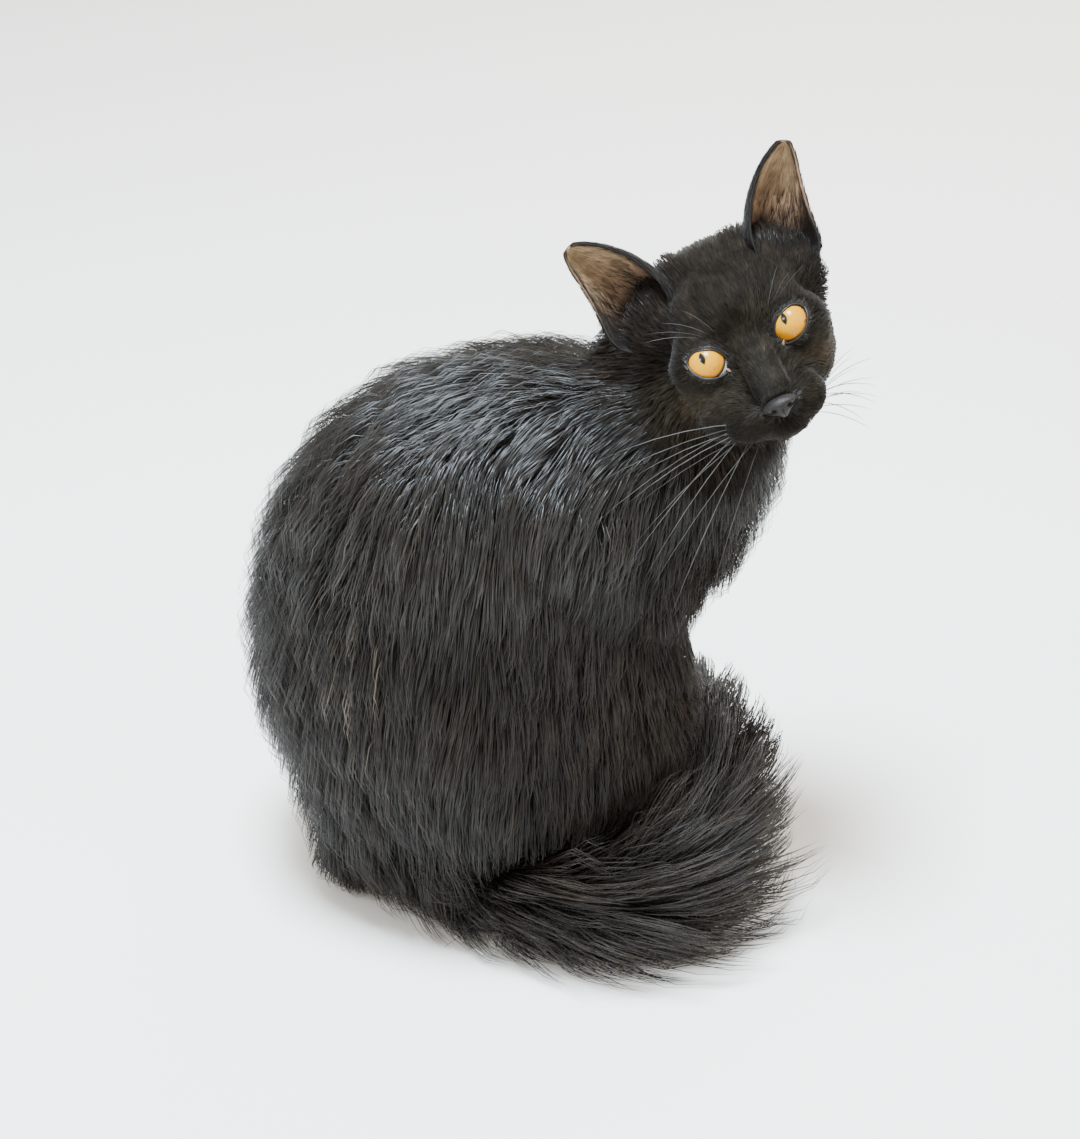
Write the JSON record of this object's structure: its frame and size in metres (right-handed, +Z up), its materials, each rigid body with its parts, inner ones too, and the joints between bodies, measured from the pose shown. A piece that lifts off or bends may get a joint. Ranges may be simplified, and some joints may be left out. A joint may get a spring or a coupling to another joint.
{
  "type": "sitting cat",
  "caption": "Still, life-size long-haired black cat sitting with its tail round its right side, looking back over its right shoulder with its head tilted.",
  "frame": {"origin": "on the floor, at the middle of the cat's bounding box", "axes": "+Z up, the longest extent; the body faces -Y, so +X is the cat's left; the head is turned to look back towards -X and +Y"},
  "size_m": [0.2472, 0.2668, 0.3696],
  "materials": {
    "coat": "long soft hair with a slight sheen",
    "ear": "short thin hair over skin",
    "eye": "wet and clear",
    "nose": "fine-grained and slightly moist"
  },
  "bodies": {
    "root": {"trunk": "coat", "neck": "coat", "head": "coat", "hind_leg_left": "coat", "hind_leg_right": "coat", "fore_leg_left": "coat", "fore_leg_right": "coat", "tail_root": "coat", "tail_middle": "coat", "tail_bend": "coat", "tail_tip": "coat", "ear_left": "ear", "ear_right": "ear", "eye_left": "eye", "eye_right": "eye", "nose": "nose"}
  },
  "joints": []
}
